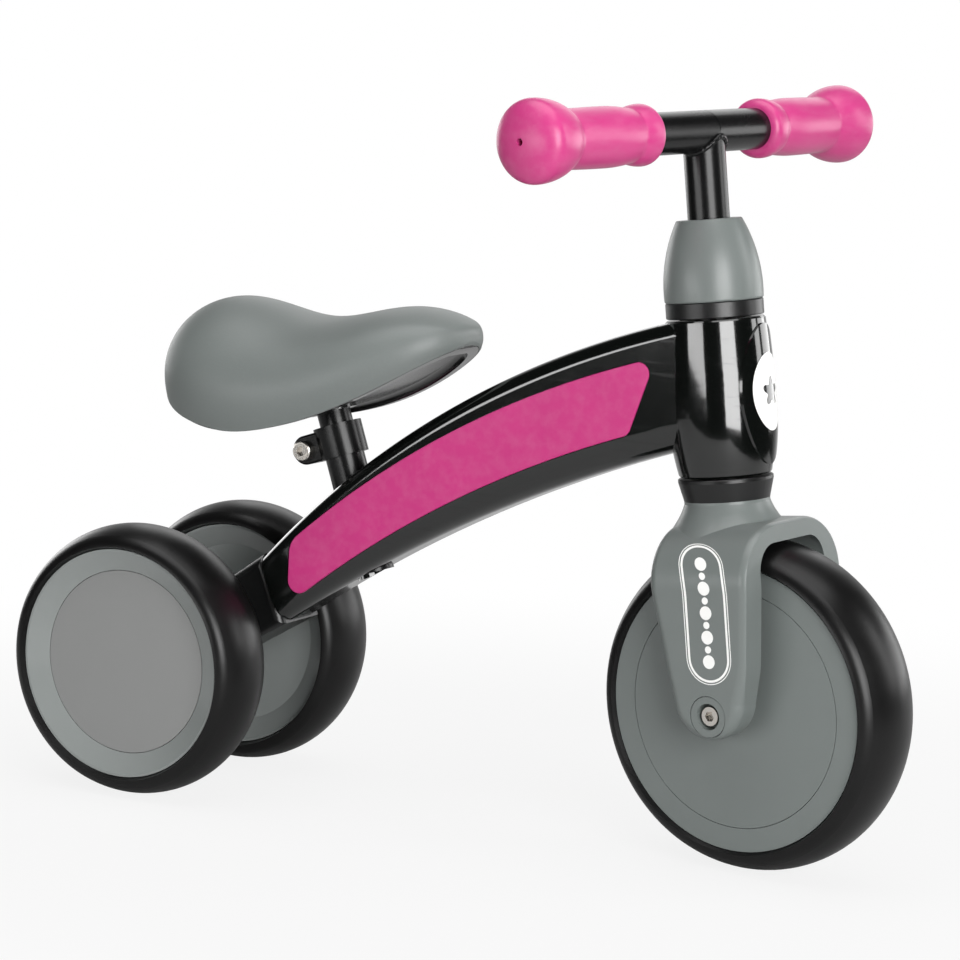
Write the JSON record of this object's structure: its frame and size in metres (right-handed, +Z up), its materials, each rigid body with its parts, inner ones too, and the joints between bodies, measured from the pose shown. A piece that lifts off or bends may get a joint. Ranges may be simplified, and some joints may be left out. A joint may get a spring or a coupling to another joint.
{
  "type": "balance bike",
  "caption": "Toddler's balance bike: moulded arch frame, steered front wheel in a fork, rear wheels on a shared axle, height-adjustable saddle and handlebar with flared grips.",
  "frame": {"origin": "on the ground plane, at the middle of the bounding box", "axes": "+X forward along the bike, +Y to the rider's left, +Z up; the steering rests turned right"},
  "size_m": [0.5237, 0.2991, 0.4107],
  "materials": {
    "shell_black": "glossy moulded black",
    "accent_pink": "satin pink, fine grain",
    "grip_pink": "soft satin pink",
    "moulding_grey": "satin grey, fine grain",
    "hub_grey": "smooth grey",
    "saddle_grey": "smooth grey foam skin",
    "base_black": "matte black",
    "badge_black": "glossy black badge",
    "carrier_black": "satin black",
    "tube_black": "satin black powder coat",
    "tyre_black": "smooth satin black foam",
    "zinc": "bright zinc plate",
    "bush_white": "natural bearing plastic"
  },
  "bodies": {
    "frame": {"frame_shell_right": "shell_black", "frame_shell_left": "shell_black", "side_panel_right": "accent_pink", "side_panel_left": "accent_pink", "frame_screws": "zinc", "head_badge": "badge_black", "upper_bush": "bush_white", "lower_bush": "bush_white", "seat_tube": "tube_black", "seat_clamp": "tube_black", "clamp_bolt": "zinc", "clamp_nut": "zinc", "rear_carrier": "carrier_black", "rear_axle": "zinc", "axle_washers": "zinc", "axle_nuts": "zinc"},
    "steering": {"fork": "moulding_grey", "fork_plugs": "carrier_black", "steerer": "tube_black", "lower_collar": "carrier_black", "upper_collar": "carrier_black", "stem_cap": "moulding_grey", "handlebar": "tube_black", "stem_bolt": "zinc", "stem_nut": "zinc", "grip_right": "grip_pink", "grip_left": "grip_pink", "front_axle": "zinc", "axle_bolts": "zinc", "axle_spacers": "zinc"},
    "front_wheel": {"front_tyre": "tyre_black", "front_hub": "moulding_grey", "front_cap_right": "moulding_grey", "front_cap_left": "moulding_grey", "front_bushes": "bush_white"},
    "rear_wheel_right": {"rear_tyre_right": "tyre_black", "rear_hub_right": "hub_grey", "rear_cap_right": "hub_grey", "rear_bushes_right": "bush_white"},
    "rear_wheel_left": {"rear_tyre_left": "tyre_black", "rear_hub_left": "hub_grey", "rear_cap_left": "hub_grey", "rear_bushes_left": "bush_white"},
    "saddle": {"saddle_pad": "saddle_grey", "saddle_base": "base_black", "saddle_post": "tube_black", "post_screw": "zinc"}
  },
  "joints": [
    {"name": "steering_turn", "type": "hinge", "parent": "frame", "child": "steering", "pos_m": [0.16352, 0, 0.08781], "axis": [-0.1167, 0, 0.9932], "range_deg": [-58.5, 76.5]},
    {"name": "front_wheel_spin", "type": "hinge", "parent": "steering", "child": "front_wheel", "pos_m": [0.17352, -0.0016, 0.08898], "axis": [0.1554, 0.9877, 0.0183], "continuous": true},
    {"name": "rear_right_spin", "type": "hinge", "parent": "frame", "child": "rear_wheel_right", "pos_m": [-0.18485, -0.0554, 0.077], "axis": [0, 1, 0], "continuous": true},
    {"name": "rear_left_spin", "type": "hinge", "parent": "frame", "child": "rear_wheel_left", "pos_m": [-0.18485, 0.0554, 0.077], "axis": [0, 1, 0], "continuous": true},
    {"name": "saddle_height", "type": "slide", "parent": "frame", "child": "saddle", "axis": [-0.3206, 0, 0.9472], "range_m": [-0.005, 0.03]}
  ]
}
